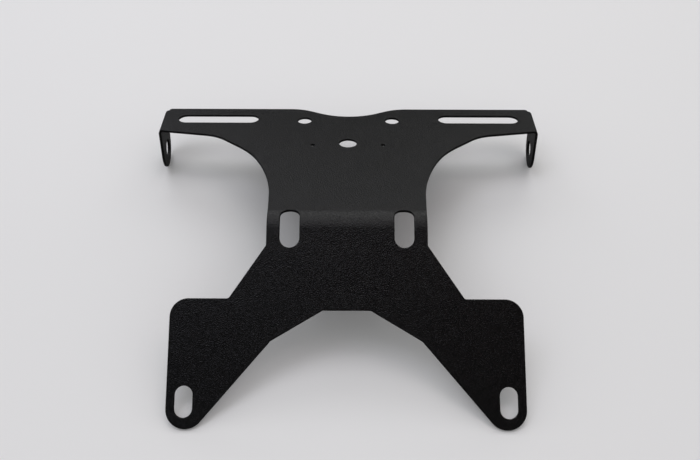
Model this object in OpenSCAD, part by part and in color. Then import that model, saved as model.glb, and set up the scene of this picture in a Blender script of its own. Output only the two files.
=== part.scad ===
// Tail tidy for a motorbike: the bracket that carries the number plate, its lamp
// and both indicators. It is one sheet of steel, laser cut to a flat blank, folded
// once across its waist and once at each wing tip, then powder coated.
//
// Lengths run along the outer face of the sheet, as on the drawing of the blank, and
// are measured from the middle of the waist fold: upwards to the back edge of the
// upper plate, downwards to the tips of the legs. The bracket stands on a table, on
// its two leg tips and the round ends of its two tabs.

/* [Sheet and folds] */
// Thickness of the sheet
sheet_t = 1.5; // [1:0.1:3]
// Angle of the fold across the waist
waist_fold = 45; // [30:1:60]
// Inner radius of the fold across the waist
waist_fold_in_r = 13.5; // [8:0.5:18]
// Inner radius of the folds at the wing tips
tab_fold_in_r = 1.1; // [0.5:0.1:3]

/* [Upper plate] */
// Width over the outer faces of the two tabs, at the tabs' front edges
wing_span = 223.6; // [205:0.2:250]
// Distance of the back edge from the waist fold
back_edge = 122; // [121.5:0.5:140]
// Radius of the two back corners
back_corner_r = 1.9; // [0.5:0.1:2]
// Depth of the dip in the middle of the back edge
dip_depth = 10.2; // [4:0.1:12]
// Width of the dip at its floor, between the corners of its outline
dip_floor_w = 18.2; // [10:0.2:26]
// Width of the dip at the back edge, between the corners of its outline
dip_mouth_w = 56.4; // [46:0.2:70]
// Radius of the floor of the dip
dip_floor_r = 36; // [5:1:60]
// Radius of the two ends of the dip
dip_mouth_r = 27; // [5:1:60]
// Slope of the front edge of a wing
wing_front_slope = 10; // [0:1:16]
// Slope of the straight side that joins a wing to the waist
flare_slope = 43; // [38:1:48]
// Slope of the curved side between that straight side and the waist
flare_foot_slope = 66; // [60:1:72]
// Width between the corners where the wings' front edges start
flare_top_w = 153; // [148:1:165]
// Width between the corners at the foot of the straight sides
flare_mid_w = 107.8; // [102:0.2:114]
// Width between the corners where the waist starts to widen
waist_top_w = 83; // [81:0.5:86]
// Radius where the waist starts to widen
waist_top_r = 99; // [20:1:120]
// Radius at the foot of the straight side
flare_mid_r = 53; // [10:1:70]
// Radius where a wing's front edge starts
flare_top_r = 23; // [5:1:40]

/* [Tabs] */
// Distance of a tab's front edge from the waist fold
tab_front = 92.7; // [88:0.1:95]
// Angle by which a tab's fold leans outwards to the back
tab_lean = 1.8; // [0:0.1:5]
// Width of a tab where it leaves its fold
tab_root_w = 27; // [25:0.1:28]
// Depth of a tab below the upper plate's outer face
tab_drop = 30; // [25:0.5:40]
// Radius of a tab's round end
tab_end_r = 12.5; // [10:0.1:12.8]
// Distance of the round end's middle from the tab's front edge, along the fold
tab_end_at = 13; // [12.8:0.1:14]
// Distance of the indicator hole from the tab's front edge, along the fold
tab_hole_at = 14.9; // [12:0.1:16]
// Distance of the indicator hole from the lowest place of the round end
tab_hole_rise = 10.3; // [9:0.1:14]
// Diameter of the indicator hole in a tab
tab_hole_d = 10.4; // [6:0.1:13]

/* [Waist and legs] */
// Width of the waist
waist_w = 80; // [76:0.5:80.5]
// Distance of the waist's lower corners from the waist fold
waist_end = 14.4; // [10:0.1:18]
// Width between the inner corners of the shoulders
neck_w = 115.4; // [105:0.2:130]
// Distance of the shoulders from the waist fold
shoulder = 40.8; // [34:0.1:43]
// Width over the outer sides of the legs
leg_span = 172; // [160:1:190]
// Radius of the shoulders' outer corners
shoulder_r = 8.9; // [1:0.1:14]
// Distance of the leg tips from the waist fold
leg_reach = 103.1; // [96:0.1:115]
// Radius of the leg tips
leg_tip_r = 9.4; // [7:0.1:12]
// Distance of the top of the arch from the waist fold
arch_top = 46.6; // [44:0.1:54]
// Width of the straight top of the arch
arch_top_w = 23.4; // [12:0.2:36]
// Distance from the waist fold at which the arch's sides turn
arch_turn = 61.5; // [57:0.1:66]
// Width of the arch where its sides turn
arch_turn_w = 73.6; // [66:0.2:84]
// Radius of the small corners of the outline
small_corner_r = 1.6; // [0.2:0.1:3]

/* [Holes and slots] */
// Width of the mounting slots in the wings
wing_slot_w = 10.2; // [6:0.1:12]
// Length of the mounting slots in the wings
wing_slot_l = 48; // [30:0.5:52]
// Distance between the middles of the wings' mounting slots
wing_slot_pitch = 156.3; // [150:0.1:162]
// Distance of the wings' mounting slots from the waist fold
wing_slot_at = 108.3; // [106:0.1:111]
// Diameter of the plate lamp's bolt holes
lamp_hole_d = 8.2; // [4:0.1:10]
// Distance between the plate lamp's bolt holes
lamp_hole_pitch = 52.4; // [44:0.1:62]
// Distance of the plate lamp's bolt holes from the waist fold
lamp_hole_at = 106.3; // [100:0.1:108]
// Diameter of the wiring hole
wire_hole_d = 10.1; // [6:0.1:14]
// Distance of the wiring hole from the waist fold
wire_hole_at = 77.5; // [60:0.1:90]
// Diameter of the two pilot holes
pilot_hole_d = 2.5; // [1.5:0.1:4]
// Distance between the two pilot holes
pilot_hole_pitch = 40.2; // [26:0.1:60]
// Distance of the two pilot holes from the waist fold
pilot_hole_at = 75.1; // [60:0.1:90]
// Width of the two slots that cross the waist fold
waist_slot_w = 9.8; // [6:0.1:12]
// Distance between the two slots that cross the waist fold
waist_slot_pitch = 57; // [46:0.1:62]
// Distance of these slots' upper end from the waist fold
waist_slot_top = 5.7; // [2:0.1:14]
// Distance of these slots' lower end from the waist fold
waist_slot_end = 15.5; // [10:0.1:24]
// Width of the number plate's slots in the legs
plate_slot_w = 8.6; // [5:0.1:10]
// Length of the number plate's slots in the legs
plate_slot_l = 15; // [11:0.1:24]
// Distance of the middles of the number plate's slots from the outer sides of the legs
plate_slot_inset = 8.4; // [7.5:0.1:10]
// Distance of the middles of the number plate's slots from the leg tips
plate_slot_rise = 12.8; // [11.5:0.1:22]

/* [Hidden] */
$fn = 96;
coat_colour = [0.13, 0.13, 0.14];
// Largest turn between two points on a rounded corner
arc_step = 5;
// How far a cutter reaches past the face that it cuts
past = 1;
// How far a flat plate runs on into the fold that it joins
seam = 0.05;
// How much lower than a plate's faces the faces of the stretched metal in the fold lie
thinning = 0.01;

// Outer radii of the folds, and half the length of the waist fold along the sheet, to
// the nearest micron
waist_r = waist_fold_in_r + sheet_t;
tab_r = tab_fold_in_r + sheet_t;
half_fold = round(1000 * waist_r * waist_fold * PI / 360) / 1000;
// Where a tab's fold starts across the wing, and where it ends after leaning outwards
tab_root_x = wing_span / 2 - tab_r;
tab_back_x = tab_root_x + tab_root_w * sin(tab_lean);
tab_back = tab_front + tab_root_w * cos(tab_lean);

// Heights of the flare's corners, found by following its slopes from the tab
flare_top_y = tab_front - (tab_root_x - flare_top_w / 2) * tan(wing_front_slope);
flare_mid_y = flare_top_y - (flare_top_w - flare_mid_w) / 2 * tan(flare_slope);
waist_top_y = flare_mid_y - (flare_mid_w - waist_top_w) / 2 * tan(flare_foot_slope);

// The leg's inner side is the line from the arch's turn that touches the round tip
arch_corner = [arch_turn_w / 2, -arch_turn];
tip_centre = [leg_span / 2 - leg_tip_r, leg_tip_r - leg_reach];
tip_run = tip_centre - arch_corner;
leg_inner_slope = atan2(tip_run[1], tip_run[0]) - asin(leg_tip_r / norm(tip_run));
leg_corner_y = arch_corner[1] + (leg_span / 2 - arch_corner[0]) * tan(leg_inner_slope);

// Distance between the number plate's slots, and how far they are from the waist fold
plate_slot_pitch = leg_span - 2 * plate_slot_inset;
plate_slot_at = leg_reach - plate_slot_rise;

// Corners of the right half of the blank as [across, along, radius], from the arch
// round the leg, waist, wing and back edge to the dip
HALF_BLANK = [
    [arch_top_w / 2, -arch_top, small_corner_r],
    [arch_corner[0], arch_corner[1], small_corner_r],
    [leg_span / 2, leg_corner_y, leg_tip_r],
    [leg_span / 2, -shoulder, shoulder_r],
    [neck_w / 2, -shoulder, small_corner_r],
    [waist_w / 2, -waist_end, small_corner_r],
    [waist_w / 2, half_fold, 0],
    [waist_top_w / 2, waist_top_y, waist_top_r],
    [flare_mid_w / 2, flare_mid_y, flare_mid_r],
    [flare_top_w / 2, flare_top_y, flare_top_r],
    [tab_root_x + seam, tab_front + seam * tan(wing_front_slope), 0],
    [tab_back_x + seam, tab_back, 0],
    [tab_back_x + seam, back_edge, back_corner_r],
    [dip_mouth_w / 2, back_edge, dip_mouth_r],
    [dip_floor_w / 2, back_edge - dip_depth, dip_floor_r]
];

// A list of corners followed by its mirror image, in order round the outline
function with_mirror(corners) = concat(corners,
    [for (i = [len(corners) - 1:-1:0]) [-corners[i][0], corners[i][1], corners[i][2]]]);

// The point of corner i, counted round a closed outline
function at(corners, i) =
    let (corner = corners[(i + len(corners)) % len(corners)]) [corner[0], corner[1]];

// Half the angle between the two sides that meet at corner i
function half_angle(corners, i) =
    let (back = at(corners, i - 1) - at(corners, i), on = at(corners, i + 1) - at(corners, i))
    acos(max(-1, min(1, back * on / (norm(back) * norm(on))))) / 2;

// How far corner i's arc would take up its two sides
function arc_reach(corners, i) =
    let (n = len(corners), k = (i + n) % n) corners[k][2] / tan(half_angle(corners, k));

// The share of an arc's full size that the side from corner i to the next has room for
function side_share(corners, i) =
    let (wanted = arc_reach(corners, i) + arc_reach(corners, i + 1))
    wanted == 0 ? 1 : min(1, norm(at(corners, i + 1) - at(corners, i)) / wanted);

// Points of the arc at corner i, or the corner itself if it is sharp
function corner_points(corners, i) =
    let (
        tip = at(corners, i),
        back = at(corners, i - 1) - tip,
        on = at(corners, i + 1) - tip,
        half = half_angle(corners, i),
        share = min(side_share(corners, i - 1), side_share(corners, i)),
        reach = arc_reach(corners, i) * share,
        r = reach * tan(half),
        inward = back / norm(back) + on / norm(on),
        centre = tip + inward / norm(inward) * r / sin(half),
        start = tip + back / norm(back) * reach - centre,
        side = sign(back[1] * on[0] - back[0] * on[1]),
        turn = side * (180 - 2 * half),
        first = atan2(start[1], start[0]),
        steps = ceil(abs(turn) / arc_step)
    )
    reach == 0 ? [tip] :
    [for (k = [0:steps]) centre + r * [cos(first + turn * k / steps), sin(first + turn * k / steps)]];

// The whole outline of the flat blank, without the tabs
function outline_points(corners) =
    [for (i = [0:len(corners) - 1]) each corner_points(corners, i)];

// How far the sheet has turned at a distance s from the middle of the waist fold, and
// how far along one of the flat plates that place then is
function sheet_turn(s) = waist_fold * min(1, max(0, (half_fold - s) / (2 * half_fold)));
function flat_run(s) = s > half_fold ? s - half_fold : s < -half_fold ? s + half_fold : 0;

// Puts its children on the outer face of the sheet, at a distance s from the middle of
// the waist fold: x across, y up along the sheet and z out of it
module on_sheet(s) {
    translate([0, 0, -waist_r])
        rotate([sheet_turn(s), 0, 0])
            translate([0, flat_run(s), waist_r])
                children();
}

// The blank's outline between the distances s_low and s_high, one sheet thick
module plate(s_low, s_high) {
    translate([0, 0, -sheet_t])
        linear_extrude(sheet_t)
            intersection() {
                polygon(outline_points(with_mirror(HALF_BLANK)));
                translate([-wing_span / 2, s_low])
                    square([wing_span, s_high - s_low]);
            }
}

module upper_plate() {
    on_sheet(half_fold)
        translate([0, -half_fold, 0])
            plate(half_fold - seam, back_edge);
}

module lower_plate() {
    on_sheet(-half_fold)
        translate([0, half_fold, 0])
            plate(-leg_reach, -half_fold + seam);
}

module waist_bend() {
    translate([0, 0, -waist_r])
        rotate([180, 0, 0])
            rotate([0, 90, 0])
                rotate_extrude(angle = waist_fold)
                    translate([waist_fold_in_r + thinning, -waist_w / 2])
                        square([sheet_t - 2 * thinning, waist_w]);
}

// Direction from the middle of the round end to where a straight side that comes from
// the point p touches it; side is 1 for the tab's back side and -1 for its front side
function touch_angle(p, side) =
    let (out = p - tab_end)
    atan2(out[1], out[0]) - side * acos(tab_end_r / norm(out));

// A tab's flat outline as [along the fold, up]: two straight sides and the round end
tab_end = [tab_end_at, tab_end_r - tab_drop];
tab_top = [[0, seam - tab_r], [tab_root_w, seam - tab_r]];
end_start = touch_angle(tab_top[0], -1);
end_turn = touch_angle(tab_top[1], 1) + 360 - end_start;
end_steps = ceil(end_turn / arc_step);
TAB_OUTLINE = concat(
    [tab_top[0]],
    [for (k = [0:end_steps])
        let (a = end_start + end_turn * k / end_steps)
        tab_end + tab_end_r * [cos(a), sin(a)]],
    [tab_top[1]]
);

// The right wing's tab, folded down a quarter turn along its leaning fold
module tab() {
    on_sheet(tab_front)
        translate([tab_root_x, 0, 0])
            rotate([0, 0, -tab_lean]) {
                translate([0, tab_root_w - seam, -tab_r])
                    rotate([90, 0, 0])
                        rotate_extrude(angle = 90)
                            translate([tab_fold_in_r + thinning, 0])
                                square([sheet_t - 2 * thinning, tab_root_w - 2 * seam]);
                translate([tab_fold_in_r, 0, 0])
                    rotate([90, 0, 90])
                        linear_extrude(sheet_t)
                            difference() {
                                polygon(TAB_OUTLINE);
                                translate([tab_hole_at, tab_hole_rise - tab_drop])
                                    circle(d = tab_hole_d);
                            }
            }
}

// Cuts its children's flat shape square through the sheet, and a depth more each way
module cut_at(x, s, depth = past) {
    on_sheet(s)
        translate([x, 0, -sheet_t - depth])
            linear_extrude(sheet_t + 2 * depth)
                children();
}

// A slot's shape with round ends, lying across the sheet
module slot_shape(length, width) {
    for (side = [-1, 1])
        translate([side * (length - width) / 2, 0])
            circle(d = width);
    square([length - width, width], center = true);
}

// A slot along the sheet across the waist fold: a round end square to the sheet at each
// end, and one straight cutter between their middles that takes in the curve of the fold
module folded_slot(x, s_low, s_high, width) {
    low = s_low + width / 2;
    high = s_high - width / 2;
    for (s = [low, high])
        cut_at(x, s)
            circle(d = width);
    straight = width - 2 * thinning;
    translate([x - straight / 2, 0, 0])
        rotate([90, 0, 90])
            linear_extrude(straight)
                polygon([
                    side_view(low, sheet_t + past),
                    side_view(low, -4 * past),
                    side_view(high, -4 * past),
                    side_view(high, sheet_t + past)
                ]);
}

module openings() {
    for (side = [-1, 1]) {
        cut_at(side * wing_slot_pitch / 2, wing_slot_at)
            slot_shape(wing_slot_l, wing_slot_w);
        cut_at(side * lamp_hole_pitch / 2, lamp_hole_at)
            circle(d = lamp_hole_d);
        cut_at(side * pilot_hole_pitch / 2, pilot_hole_at)
            circle(d = pilot_hole_d);
        cut_at(side * plate_slot_pitch / 2, -plate_slot_at)
            rotate([0, 0, 90])
                slot_shape(plate_slot_l, plate_slot_w);
        folded_slot(side * waist_slot_pitch / 2, -waist_slot_end, waist_slot_top, waist_slot_w);
    }
    cut_at(0, wire_hole_at)
        circle(d = wire_hole_d);
}

// Side view of the sheet as [back, up]: a place at a distance s, a depth w under the face
function side_view(s, w) =
    let (a = sheet_turn(s), run = flat_run(s), r = waist_r - w)
    [run * cos(a) - r * sin(a), run * sin(a) + r * cos(a) - waist_r];

// The bracket stands on its leg tips and on the round ends of its tabs, so it tips until
// the line from the tips that touches those ends lies level
foot = side_view(-leg_reach, sheet_t);
foot_to_tab = side_view(tab_front + tab_end_at * cos(tab_lean), -tab_end[1]) - foot;
tilt = atan2(foot_to_tab[1], foot_to_tab[0]) - asin(tab_end_r / norm(foot_to_tab));

// The tipped side view, from which the place on the table is taken
function tipped(p) = [p[0] * cos(tilt) + p[1] * sin(tilt), p[1] * cos(tilt) - p[0] * sin(tilt)];
front_y = tipped(side_view(-leg_reach, 0))[0];
rear_y = tipped(side_view(back_edge, 0))[0];
table_z = tipped(foot)[1];

module standing() {
    translate([0, -(front_y + rear_y) / 2, -table_z])
        rotate([-tilt, 0, 0])
            children();
}

module folded_bracket() {
    color(coat_colour)
        standing()
            difference() {
                union() {
                    upper_plate();
                    waist_bend();
                    lower_plate();
                    tab();
                    mirror([1, 0, 0])
                        tab();
                }
                openings();
            }
}

folded_bracket();
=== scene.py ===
# %% [markdown]
# A tail tidy is the bracket behind a motorbike's seat that carries the number plate, the plate
# lamp and both indicators. This one is a single steel sheet, cut flat, folded, and coated with
# black powder. The lesson makes it the same way: a flat blank first, then its folds, and then
# the coat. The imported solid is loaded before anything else, because its box is the size that
# the visible piece has to keep.

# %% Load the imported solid
import math

import bmesh
import bpy
import numpy as np
from mathutils import Matrix, Vector


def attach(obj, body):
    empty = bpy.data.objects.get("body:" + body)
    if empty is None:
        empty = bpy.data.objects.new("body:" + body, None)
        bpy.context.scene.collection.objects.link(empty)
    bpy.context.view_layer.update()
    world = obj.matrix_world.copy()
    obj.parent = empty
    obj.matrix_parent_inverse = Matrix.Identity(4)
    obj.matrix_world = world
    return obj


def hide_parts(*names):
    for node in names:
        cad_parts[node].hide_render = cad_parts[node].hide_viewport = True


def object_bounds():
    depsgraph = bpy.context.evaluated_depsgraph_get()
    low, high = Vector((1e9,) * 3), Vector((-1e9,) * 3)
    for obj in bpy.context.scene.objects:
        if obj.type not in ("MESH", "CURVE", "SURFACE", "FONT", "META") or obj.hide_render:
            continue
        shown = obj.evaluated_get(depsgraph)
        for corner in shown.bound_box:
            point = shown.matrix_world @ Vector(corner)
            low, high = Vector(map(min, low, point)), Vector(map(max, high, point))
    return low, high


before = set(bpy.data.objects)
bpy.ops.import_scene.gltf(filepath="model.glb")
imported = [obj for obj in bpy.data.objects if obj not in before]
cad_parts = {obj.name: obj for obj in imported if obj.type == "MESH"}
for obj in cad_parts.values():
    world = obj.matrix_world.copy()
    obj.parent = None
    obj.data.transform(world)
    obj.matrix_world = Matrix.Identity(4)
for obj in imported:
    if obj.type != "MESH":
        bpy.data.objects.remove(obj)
solid_low, solid_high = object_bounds()
print("nodes:", sorted(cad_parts))
print("solid box in mm:", [round(1000 * side, 2) for side in solid_high - solid_low])

# %% [markdown]
# The sheet's sizes are in millimetres, and the lengths are taken along its outer face from the
# middle of the waist fold, as on a workshop drawing of the flat blank. They are the values that
# the solid was made from. The blank stays in millimetres until the last step of its folding,
# because very small numbers would make the filling of its outline less exact.

# %% Sizes of the sheet and of its two kinds of fold
SHEET = 1.5
WAIST_FOLD = math.radians(45)
WAIST_RADIUS = 15.0
TAB_FOLD = math.radians(90)
TAB_RADIUS = 2.6
HALF_FOLD = WAIST_RADIUS * WAIST_FOLD / 2
TAB_BEND = TAB_RADIUS * TAB_FOLD
print(f"the waist fold takes {2 * HALF_FOLD:.2f} mm of sheet, each tab fold {TAB_BEND:.2f} mm")

# %% Sizes of the upper plate and its tabs
WING_SPAN = 223.6
BACK_EDGE = 122.0
BACK_CORNER = 1.9
DIP_DEPTH = 10.2
DIP_WIDTH = 56.4
DIP_FLOOR = 18.2
WAIST_WIDTH = 80.0
TAB_FRONT = 92.7
TAB_LEAN = math.radians(1.8)
TAB_WIDTH = 27.0
TAB_END = 12.5
END_BACK = 13.0
END_DROP = 17.5
TAB_HOLE = 10.4
HOLE_BACK = 14.9
HOLE_DROP = 19.7
TAB_ROOT = WING_SPAN / 2 - TAB_RADIUS
END_OUT = TAB_BEND + END_DROP - TAB_RADIUS
HOLE_OUT = TAB_BEND + HOLE_DROP - TAB_RADIUS
print(f"a tab's hole lies {HOLE_OUT:.2f} mm out from the start of its fold")

# %% Heights of the flare between the waist and the wings
FLARE_TOP_WIDTH = 153.0
FLARE_MIDDLE_WIDTH = 107.8
FLARE_FOOT_WIDTH = 83.0
WING_SLOPE = math.radians(10)
NECK_SLOPE = math.radians(43)
WAIST_SLOPE = math.radians(66)
flare_top = (
    FLARE_TOP_WIDTH / 2,
    TAB_FRONT - (TAB_ROOT - FLARE_TOP_WIDTH / 2) * math.tan(WING_SLOPE),
)
flare_middle = (
    FLARE_MIDDLE_WIDTH / 2,
    flare_top[1] - (FLARE_TOP_WIDTH - FLARE_MIDDLE_WIDTH) / 2 * math.tan(NECK_SLOPE),
)
flare_foot = (
    FLARE_FOOT_WIDTH / 2,
    flare_middle[1] - (FLARE_MIDDLE_WIDTH - FLARE_FOOT_WIDTH) / 2 * math.tan(WAIST_SLOPE),
)
print("the waist starts to widen", round(flare_foot[1], 2), "mm above its fold")

# %% Sizes of the legs
LEG_SPAN = 172.0
LEG_REACH = 103.1
LEG_TIP = 9.4
LEG_TOP = -40.8
LEG_SHOULDER = 8.9
LEG_ROOT_WIDTH = 115.4
WAIST_FOOT = -14.4
ARCH_TOP = (23.4 / 2, -46.6)
ARCH_TURN = (73.6 / 2, -61.5)
tip_run = Vector((LEG_SPAN / 2 - LEG_TIP - ARCH_TURN[0], LEG_TIP - LEG_REACH - ARCH_TURN[1]))
inner_slope = math.atan2(tip_run.y, tip_run.x) - math.asin(LEG_TIP / tip_run.length)
leg_corner = ARCH_TURN[1] + (LEG_SPAN / 2 - ARCH_TURN[0]) * math.tan(inner_slope)
print(f"a leg's inner side slopes {math.degrees(-inner_slope):.1f} degrees down to its tip")

# %% [markdown]
# The outline is drawn as a draughtsman does it: straight sides between sharp corners, and then
# an arc in each corner. Only the right half is listed, because the blank is symmetric. The tab
# is drawn unrolled. Its fold leans a little outwards to the back, so its places are given along
# and out from that fold. The two sides below the fold are drawn to touch the round end.


# %% Place and shape the flat tab
def tab_place(back, out):
    """A place on the flat tab, so far back along its fold and so far out from it."""
    return (
        TAB_ROOT + back * math.sin(TAB_LEAN) + out * math.cos(TAB_LEAN),
        TAB_FRONT + back * math.cos(TAB_LEAN) - out * math.sin(TAB_LEAN),
    )


def side_corner(start, side):
    """The corner where a tab's side, drawn to touch the round end, meets the end's lowest level."""
    to_end = Vector((END_BACK - start, END_OUT - TAB_BEND))
    slope = math.atan2(to_end.x, to_end.y) + side * math.asin(TAB_END / to_end.length)
    return tab_place(start + (to_end.y + TAB_END) * math.tan(slope), END_OUT + TAB_END)


TAB = [
    (*tab_place(0, 0), 0),
    (*tab_place(0, TAB_BEND), 0),
    (*side_corner(0, -1), TAB_END),
    (*side_corner(TAB_WIDTH, 1), TAB_END),
    (*tab_place(TAB_WIDTH, TAB_BEND), 0),
    (*tab_place(TAB_WIDTH, 0), 0),
]
print("the unrolled tab reaches", round(TAB[2][0], 2), "mm out from the middle of the blank")

# %% List the corners of the right half as across, along and radius
SMALL = 1.6
HALF_BLANK = [
    (*ARCH_TOP, SMALL),
    (*ARCH_TURN, SMALL),
    (LEG_SPAN / 2, leg_corner, LEG_TIP),
    (LEG_SPAN / 2, LEG_TOP, LEG_SHOULDER),
    (LEG_ROOT_WIDTH / 2, LEG_TOP, SMALL),
    (WAIST_WIDTH / 2, WAIST_FOOT, SMALL),
    (WAIST_WIDTH / 2, HALF_FOLD, 0),
    (*flare_foot, 99),
    (*flare_middle, 53),
    (*flare_top, 23),
    *TAB,
    (tab_place(TAB_WIDTH, 0)[0], BACK_EDGE, BACK_CORNER),
    (DIP_WIDTH / 2, BACK_EDGE, 27),
    (DIP_FLOOR / 2, BACK_EDGE - DIP_DEPTH, 36),
]
blank_corners = HALF_BLANK + [(-x, y, r) for x, y, r in reversed(HALF_BLANK)]
print(len(blank_corners), "corners in the outline of the blank")


# %% Round the corners of a closed outline
def rounded_outline(corners, turn_step=math.radians(6), arc_step=1.6):
    """Points of the outline, with an arc in each corner that has a radius."""
    tips = [Vector(corner[:2]) for corner in corners]
    count = len(corners)
    halves, reaches = [], []
    for i in range(count):
        back = (tips[i - 1] - tips[i]).normalized()
        on = (tips[(i + 1) % count] - tips[i]).normalized()
        half = math.acos(max(-1, min(1, back.dot(on)))) / 2
        halves.append(half)
        reaches.append(corners[i][2] / math.tan(half))
    shares = []
    for i in range(count):
        wanted = reaches[i] + reaches[(i + 1) % count]
        room = (tips[(i + 1) % count] - tips[i]).length
        shares.append(1 if wanted == 0 else min(1, room / wanted))
    points = []
    for i in range(count):
        reach = reaches[i] * min(shares[i - 1], shares[i])
        if reach == 0:
            points.append(tuple(tips[i]))
            continue
        back = (tips[i - 1] - tips[i]).normalized()
        on = (tips[(i + 1) % count] - tips[i]).normalized()
        radius = reach * math.tan(halves[i])
        centre = tips[i] + (back + on).normalized() * radius / math.sin(halves[i])
        first = tips[i] + back * reach - centre
        side = math.copysign(1, back.y * on.x - back.x * on.y)
        turn = side * (math.pi - 2 * halves[i])
        steps = max(2, math.ceil(abs(turn) / turn_step), math.ceil(abs(turn) * radius / arc_step))
        for k in range(steps + 1):
            points.append(tuple(centre + Matrix.Rotation(turn * k / steps, 2) @ first))
    # An arc that runs straight into the next one ends where that one starts, and the curve needs
    # each place once.
    return [p for i, p in enumerate(points) if math.dist(p, points[i - 1]) > 0.001]


outline = rounded_outline(blank_corners)
print(len(outline), "points in the outline of the blank")


# %% [markdown]
# Every opening is cut while the sheet is flat: round holes for the wiring and the lamp, two small
# pilot holes, and slots that let the plate and the bracket be set a little up, down or sideways.
# A slot and a hole can share one helper, because a hole is a slot with no straight part. Each is
# listed as across from the middle, along from the waist fold, width and length.

# %% Outline a slot or a round hole
def slot(x, y, width, length, upright=False, arc_step=0.9):
    """Points round a slot with half-round ends; a length equal to the width is a round hole."""
    reach = (length - width) / 2
    ends = 1 + math.ceil(math.pi * width / 2 / arc_step)
    ring = []
    for end in (1, -1):
        for k in range(ends + 1):
            angle = math.pi * (k / ends - 0.5) + (0 if end > 0 else math.pi)
            if reach == 0 and k == ends:
                continue
            ring.append((end * reach + width / 2 * math.cos(angle), width / 2 * math.sin(angle)))
    if upright:
        ring = [(-v, u) for u, v in ring]
    return [(x + u, y + v) for u, v in ring]


WIRING_HOLE = (0, 77.5, 10.1, 10.1)
WING_SLOT = (156.3 / 2, 108.3, 10.2, 48)
LAMP_HOLE = (52.4 / 2, 106.3, 8.2, 8.2)
PILOT_HOLE = (40.2 / 2, 75.1, 2.5, 2.5)
WAIST_SLOT = (57 / 2, -4.9, 9.8, 21.2)
PLATE_SLOT = (155.2 / 2, -90.3, 8.6, 15)
INDICATOR_HOLE = (*tab_place(HOLE_BACK, HOLE_OUT), TAB_HOLE, TAB_HOLE)
openings = [slot(*WIRING_HOLE)]
for side in (-1, 1):
    for across, *rest in (WING_SLOT, LAMP_HOLE, PILOT_HOLE):
        openings.append(slot(side * across, *rest))
    for across, *rest in (WAIST_SLOT, PLATE_SLOT):
        openings.append(slot(side * across, *rest, upright=True))
    openings.append(slot(side * INDICATOR_HOLE[0], *INDICATOR_HOLE[1:]))
print(len(openings), "openings in the blank")

# %% [markdown]
# A flat curve with several closed splines fills itself, and treats the inner splines as holes.
# It also gives the sheet its thickness and its rims. The rims matter: powder coat melts into a
# small round over a cut edge, and a round edge can catch light where a sharp one has no face to
# catch it. The curve is shrunk by the rim's radius first, so that the widths stay true.

# %% Fill and thicken the flat blank
RIM = 0.4
curve = bpy.data.curves.new("blank_outline", "CURVE")
curve.dimensions = "2D"
curve.fill_mode = "BOTH"
curve.extrude = SHEET / 2 - RIM
curve.bevel_depth = RIM
curve.bevel_resolution = 2
curve.offset = -RIM
for points in [outline] + openings:
    spline = curve.splines.new("POLY")
    spline.points.add(len(points) - 1)
    spline.use_cyclic_u = True
    for point, (x, y) in zip(spline.points, points):
        point.co = (x, y, 0, 1)
drawing = bpy.data.objects.new("blank_outline", curve)
bpy.context.scene.collection.objects.link(drawing)
bpy.context.view_layer.update()
evaluated = drawing.evaluated_get(bpy.context.evaluated_depsgraph_get())
flat_mesh = bpy.data.meshes.new_from_object(evaluated)
bpy.data.objects.remove(drawing)
print(len(flat_mesh.polygons), "faces in the flat blank")

# %% [markdown]
# A flat face can't bend where it has no edges. The blank is therefore scored with straight lines
# across each fold, close enough together for a smooth curve, and left in large faces elsewhere.

# %% Score the blank across its folds
WAIST_STRIPS = 28
TAB_STRIPS = 14
blank = bmesh.new()
blank.from_mesh(flat_mesh)
bmesh.ops.remove_doubles(blank, verts=blank.verts, dist=0.002)
bmesh.ops.translate(blank, verts=blank.verts, vec=(0, 0, -SHEET / 2))


def score(place, direction):
    """Cuts the blank's faces along a line, without taking anything away."""
    everything = blank.verts[:] + blank.edges[:] + blank.faces[:]
    bmesh.ops.bisect_plane(blank, geom=everything, dist=0.0005, plane_co=place, plane_no=direction)


for k in range(WAIST_STRIPS + 1):
    score((0, HALF_FOLD * (2 * k / WAIST_STRIPS - 1), 0), (0, 1, 0))
for side in (-1, 1):
    for k in range(TAB_STRIPS + 1):
        line_x, line_y = tab_place(0, TAB_BEND * k / TAB_STRIPS)
        score((side * line_x, line_y, 0), (side * math.cos(TAB_LEAN), -math.sin(TAB_LEAN), 0))
bmesh.ops.recalc_face_normals(blank, faces=blank.faces)
open_edges = sum(1 for edge in blank.edges if len(edge.link_faces) != 2)
scored = bpy.data.meshes.new("bracket_sheet")
blank.to_mesh(scored)
blank.free()
scored.polygons.foreach_set("use_smooth", [True] * len(scored.polygons))
bracket = bpy.data.objects.new("bracket_sheet", scored)
bpy.context.scene.collection.objects.link(bracket)
print(len(scored.polygons), "faces after scoring,", open_edges, "open edges")

# %% [markdown]
# Folding follows a rule, so a Geometry Nodes tree does it. A place on the flat sheet that lies
# past the start of a fold goes round the fold's centre, until it has used up the fold's length.
# From there on it runs straight. One small group holds that rule, and the tree uses it twice:
# for the tabs and for the waist.


# %% Make helpers that add nodes
def add_math(tree, operation, *values):
    """Adds a maths node, with each value either a number or another node's output."""
    node = tree.nodes.new("ShaderNodeMath")
    node.operation = operation
    for socket, value in zip(node.inputs, values):
        if isinstance(value, (int, float)):
            socket.default_value = value
        else:
            tree.links.new(value, socket)
    return node.outputs[0]


def named_input(tree, name, kind="NodeSocketFloat", value=None):
    """Adds a named input to a tree and returns its identifier."""
    item = tree.interface.new_socket(name, in_out="INPUT", socket_type=kind)
    if value is not None:
        item.default_value = value
    return item.identifier


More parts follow.
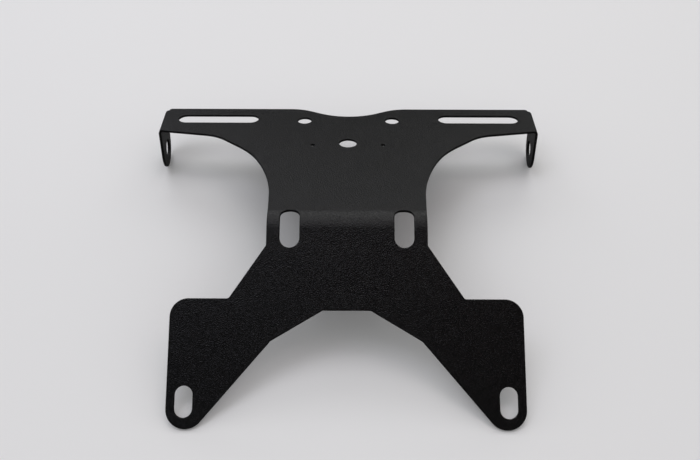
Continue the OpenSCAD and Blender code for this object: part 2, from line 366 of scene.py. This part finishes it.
# %% Write the rule of one fold as a group
fold = bpy.data.node_groups.new("Fold", "GeometryNodeTree")
for name in ("Past", "Height", "Radius", "Angle"):
    named_input(fold, name)
for name in ("Along", "Up"):
    fold.interface.new_socket(name, in_out="OUTPUT", socket_type="NodeSocketFloat")
given = fold.nodes.new("NodeGroupInput").outputs
past = add_math(fold, "MAXIMUM", given["Past"], 0)
turned = add_math(fold, "MINIMUM", add_math(fold, "DIVIDE", past, given["Radius"]), given["Angle"])
straight = add_math(fold, "SUBTRACT", past, add_math(fold, "MULTIPLY", turned, given["Radius"]))
arm = add_math(fold, "ADD", given["Radius"], given["Height"])
sine = add_math(fold, "SINE", turned)
cosine = add_math(fold, "COSINE", turned)
curved_run = add_math(fold, "MULTIPLY", arm, sine)
straight_run = add_math(fold, "MULTIPLY", straight, cosine)
along = add_math(fold, "ADD", curved_run, straight_run)
risen = add_math(fold, "SUBTRACT", add_math(fold, "MULTIPLY", arm, cosine), given["Radius"])
up = add_math(fold, "SUBTRACT", risen, add_math(fold, "MULTIPLY", straight, sine))
result = fold.nodes.new("NodeGroupOutput")
fold.links.new(along, result.inputs["Along"])
fold.links.new(up, result.inputs["Up"])
print("the fold's rule has", len(fold.nodes), "nodes")


# %% [markdown]
# The bracket lies on a table on its two leg tips and on the round ends of its tabs. The tilt
# that this takes is the slope of the line that touches both, seen from the side.

# %% Work out how the folded bracket stands
def side_view(along, depth):
    """Place of a point of the folded sheet, seen from the side, as (back, up)."""
    angle = max(0, min(WAIST_FOLD, (HALF_FOLD - along) / WAIST_RADIUS))
    straight = max(0, along - HALF_FOLD) + min(0, along + HALF_FOLD)
    arm = WAIST_RADIUS - depth
    return Vector(
        (
            straight * math.cos(angle) - arm * math.sin(angle),
            straight * math.sin(angle) + arm * math.cos(angle) - WAIST_RADIUS,
        )
    )


foot = side_view(-LEG_REACH, SHEET)
tab_end = side_view(TAB_FRONT + END_BACK * math.cos(TAB_LEAN), END_DROP)
reach = tab_end - foot
tilt = math.atan2(reach.y, reach.x) - math.asin(TAB_END / reach.length)
print(f"the upper plate slopes {math.degrees(tilt):.3f} degrees down to its back edge")

# %% Build the tree that folds the blank
folding = bpy.data.node_groups.new("Fold the blank", "GeometryNodeTree")
folding.interface.new_socket("Geometry", in_out="INPUT", socket_type="NodeSocketGeometry")
settings = {
    "Waist Fold": WAIST_FOLD,
    "Waist Radius": WAIST_RADIUS,
    "Waist Fold Start": HALF_FOLD,
    "Tab Fold": TAB_FOLD,
    "Tab Radius": TAB_RADIUS,
    "Tab Fold Start": TAB_ROOT,
    "Tab Front": TAB_FRONT,
    "Tab Lean": TAB_LEAN,
    "Tilt": tilt,
    "Scale": 0.001,
}
sockets = {name: named_input(folding, name) for name in settings}
sockets["Coat"] = named_input(folding, "Coat", "NodeSocketMaterial")
folding.interface.new_socket("Geometry", in_out="OUTPUT", socket_type="NodeSocketGeometry")
given = folding.nodes.new("NodeGroupInput").outputs
place = folding.nodes.new("ShaderNodeSeparateXYZ")
folding.links.new(folding.nodes.new("GeometryNodeInputPosition").outputs[0], place.inputs[0])


def add_fold(past, height, radius, angle):
    """Adds the fold's rule to the tree and returns its two outputs."""
    node = folding.nodes.new("GeometryNodeGroup")
    node.node_tree = fold
    for name, value in (("Past", past), ("Height", height), ("Radius", radius), ("Angle", angle)):
        folding.links.new(value, node.inputs[name])
    return node.outputs["Along"], node.outputs["Up"]


across = add_math(folding, "ABSOLUTE", place.outputs[0])
side = add_math(folding, "SIGN", place.outputs[0])
out_x = add_math(folding, "COSINE", given["Tab Lean"])
out_y = add_math(folding, "MULTIPLY", add_math(folding, "SINE", given["Tab Lean"]), -1)
from_start = add_math(folding, "SUBTRACT", across, given["Tab Fold Start"])
from_front = add_math(folding, "SUBTRACT", place.outputs[1], given["Tab Front"])
over_x = add_math(folding, "MULTIPLY", from_start, out_x)
over_y = add_math(folding, "MULTIPLY", from_front, out_y)
past_root = add_math(folding, "MAXIMUM", add_math(folding, "ADD", over_x, over_y), 0)
tab_out, tab_up = add_fold(past_root, place.outputs[2], given["Tab Radius"], given["Tab Fold"])
moved = add_math(folding, "SUBTRACT", tab_out, past_root)
moved_x = add_math(folding, "ADD", across, add_math(folding, "MULTIPLY", moved, out_x))
moved_y = add_math(folding, "ADD", place.outputs[1], add_math(folding, "MULTIPLY", moved, out_y))
new_x = add_math(folding, "MULTIPLY", moved_x, side)

before = add_math(folding, "SUBTRACT", given["Waist Fold Start"], moved_y)
waist_out, new_z = add_fold(before, tab_up, given["Waist Radius"], given["Waist Fold"])
behind = add_math(folding, "MAXIMUM", add_math(folding, "MULTIPLY", before, -1), 0)
new_y = add_math(folding, "SUBTRACT", behind, waist_out)

# %% Turn, scale and finish the folded sheet in the tree
folded = folding.nodes.new("ShaderNodeCombineXYZ")
for socket, value in zip(folded.inputs, (new_x, new_y, new_z)):
    folding.links.new(value, socket)
move = folding.nodes.new("GeometryNodeSetPosition")
folding.links.new(given["Geometry"], move.inputs["Geometry"])
folding.links.new(folded.outputs[0], move.inputs["Position"])
turn = folding.nodes.new("ShaderNodeCombineXYZ")
folding.links.new(add_math(folding, "MULTIPLY", given["Tilt"], -1), turn.inputs[0])
stand = folding.nodes.new("GeometryNodeTransform")
folding.links.new(move.outputs[0], stand.inputs["Geometry"])
folding.links.new(turn.outputs[0], stand.inputs["Rotation"])
folding.links.new(given["Scale"], stand.inputs["Scale"])
realize = folding.nodes.new("GeometryNodeRealizeInstances")
folding.links.new(stand.outputs[0], realize.inputs[0])
paint = folding.nodes.new("GeometryNodeSetMaterial")
folding.links.new(realize.outputs[0], paint.inputs["Geometry"])
folding.links.new(given["Coat"], paint.inputs["Material"])
folding.links.new(paint.outputs[0], folding.nodes.new("NodeGroupOutput").inputs[0])
print("the folding tree has", len(folding.nodes), "nodes")

# %% [markdown]
# The coat is black powder, baked on. It is a plastic skin with a fine grain, and its grain is real
# relief, so it belongs in the bump and not in the colour. The noise makes bumps a little under
# half a millimetre wide, and the lower plate glints on them.

# %% Mix the powder coat
coat = bpy.data.materials.new("powder_coat")
coat.use_nodes = True
nodes, links = coat.node_tree.nodes, coat.node_tree.links
shader = nodes["Principled BSDF"]
shader.inputs["Base Color"].default_value = (0.002, 0.002, 0.002, 1)
shader.inputs["Roughness"].default_value = 0.3
shader.inputs["IOR"].default_value = 1.5
where = nodes.new("ShaderNodeTexCoord")
grain = nodes.new("ShaderNodeTexNoise")
grain.inputs["Scale"].default_value = 2300
grain.inputs["Detail"].default_value = 0
links.new(where.outputs["Object"], grain.inputs["Vector"])
bump = nodes.new("ShaderNodeBump")
bump.inputs["Strength"].default_value = 0.9
bump.inputs["Distance"].default_value = 0.0002
links.new(grain.outputs[0], bump.inputs["Height"])
links.new(bump.outputs[0], shader.inputs["Normal"])
print("the coat is mixed by", len(nodes), "nodes")

# %% [markdown]
# A modifier runs the tree on the blank, and its result is kept as a plain mesh, because nothing has
# to fold again. The rim's narrow faces would pull the shading of the large flat ones round the
# edge, so the normals are weighted by area. The sheet is then put where the solid stands.

# %% Fold the blank and keep the result as a plain mesh
modifier = bracket.modifiers.new("fold", "NODES")
modifier.node_group = folding
for name, value in settings.items():
    modifier[sockets[name]] = value
modifier[sockets["Coat"]] = coat
bpy.context.view_layer.update()
evaluated = bracket.evaluated_get(bpy.context.evaluated_depsgraph_get())
folded_mesh = bpy.data.meshes.new_from_object(evaluated)
bracket.modifiers.remove(modifier)
bracket.data = folded_mesh
places = np.array([vertex.co for vertex in folded_mesh.vertices])
print("folded box in mm:", np.round(1000 * (places.max(0) - places.min(0)), 2))
shift = (solid_low + solid_high) / 2 - Vector((places.max(0) + places.min(0)) / 2)
shift.z = solid_low.z - places[:, 2].min()
folded_mesh.transform(Matrix.Translation(shift))
even = bracket.modifiers.new("even_normals", "WEIGHTED_NORMAL")
even.weight = 100
even.keep_sharp = False
print("moved by", [round(1000 * value, 3) for value in shift], "mm")

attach(bracket, "root")
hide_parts("folded_bracket")

# %% [markdown]
# The floor looks pale to the camera. The coat sees a dark one, because a pale floor would light up
# the two tabs that stand on it, and they are as black as the rest.

# %% Lay the floor
FLOOR_REACH = 6.0
FLOOR_SEEN = 0.8
FLOOR_MIRRORED = 0.1
floor_mesh = bpy.data.meshes.new("floor")
corners = [(x * FLOOR_REACH, y * FLOOR_REACH, 0) for x, y in ((-1, -1), (1, -1), (1, 1), (-1, 1))]
floor_mesh.from_pydata(corners, [], [(0, 1, 2, 3)])
floor = bpy.data.objects.new("floor", floor_mesh)
bpy.context.scene.collection.objects.link(floor)
floor_paint = bpy.data.materials.new("pale_floor")
floor_paint.use_nodes = True
nodes, links = floor_paint.node_tree.nodes, floor_paint.node_tree.links
to_camera = nodes.new("ShaderNodeLightPath").outputs["Is Camera Ray"]
grey = nodes.new("ShaderNodeMapRange")
grey.inputs["To Min"].default_value = FLOOR_MIRRORED
grey.inputs["To Max"].default_value = FLOOR_SEEN
links.new(to_camera, grey.inputs["Value"])
links.new(grey.outputs[0], nodes["Principled BSDF"].inputs["Base Color"])
floor_mesh.materials.append(floor_paint)
print("the floor is", 2 * FLOOR_REACH, "m wide")

# %% [markdown]
# The upper plate mirrors what stands low behind the bracket, and the lower plate mirrors what is
# nearly overhead. The upper plate is the lighter one in the photo, so the lamps stand behind and to
# the sides, and the coat sees a dark room above it. The room still lights the floor evenly,
# because its light reaches rough surfaces only, and the camera sees it as a pale wall. A weak lamp
# in front keeps the bracket from going black when it is seen from behind.

# %% Light the room for rough surfaces and for the camera
ROOM_ON_ROUGH = 0.57
ROOM_SEEN = 0.45
world = bpy.data.worlds.new("studio")
world.use_nodes = True
room = world.node_tree.nodes["Background"]
room.inputs[0].default_value = (1, 1, 1, 1)
paths = world.node_tree.nodes.new("ShaderNodeLightPath")
lit = add_math(world.node_tree, "MULTIPLY", paths.outputs["Is Diffuse Ray"], ROOM_ON_ROUGH)
seen = add_math(world.node_tree, "MULTIPLY", paths.outputs["Is Camera Ray"], ROOM_SEEN)
level = add_math(world.node_tree, "ADD", lit, seen)
world.node_tree.links.new(level, room.inputs[1])
bpy.context.scene.world = world
print("the room gives rough surfaces", ROOM_ON_ROUGH, "and the camera", ROOM_SEEN)


# %% Hang the soft boxes
BOX_SIDE = 0.8
BOX_DISTANCE = 1.8


def hang_lamp(name, bearing, height, watts, colour=(1, 1, 1)):
    """Hangs a square soft box; its bearing runs from straight behind to the right."""
    lamp = bpy.data.lights.new(name, "AREA")
    lamp.size = BOX_SIDE
    lamp.energy = watts
    lamp.color = colour
    hung = bpy.data.objects.new(name, lamp)
    bpy.context.scene.collection.objects.link(hung)
    turn, rise = math.radians(bearing), math.radians(height)
    flat = BOX_DISTANCE * math.cos(rise)
    hung.location = (flat * math.sin(turn), flat * math.cos(turn), BOX_DISTANCE * math.sin(rise))
    hung.rotation_euler = (-hung.location).to_track_quat("-Z", "Y").to_euler()
    print(name, "hangs", bearing, "degrees round and", height, "degrees up, at", watts, "W")


hang_lamp("back_low", 0, 40, 2.9)
hang_lamp("back_high", 0, 75, 3.2)
hang_lamp("back_right", 30, 30, 2.2)
hang_lamp("back_left", -30, 30, 2.6, (0.97, 0.97, 1.05))
hang_lamp("left", -90, 65, 2.8, (0.95, 0.95, 1.1))
hang_lamp("right", 90, 65, 1.0, (1, 0.7, 0.75))
hang_lamp("front", 180, 30, 0.8)

# %% [markdown]
# The camera stands where the photo was taken from: in front of the legs and above them, turned
# down towards the waist. Its lens is given in the photo's own pixels, as a width and a distance,
# so that the bracket fills the picture as it does there.

# %% Place the camera
PICTURE_WIDTH = 700
LENS_DISTANCE = 850
CAMERA_PLACE = (0.002669, -0.305739, 0.361170)
CAMERA_ANGLES = (42.55500, -0.02882, 0.26678)
lens = bpy.data.cameras.new("camera")
lens.sensor_fit = "HORIZONTAL"
lens.sensor_width = 36
lens.lens = LENS_DISTANCE / PICTURE_WIDTH * lens.sensor_width
camera = bpy.data.objects.new("camera", lens)
bpy.context.scene.collection.objects.link(camera)
camera.location = CAMERA_PLACE
camera.rotation_euler = [math.radians(angle) for angle in CAMERA_ANGLES]
bpy.context.scene.camera = camera
bpy.context.scene.view_settings.view_transform = "Standard"
print("the lens is", round(lens.lens, 1), "mm long")
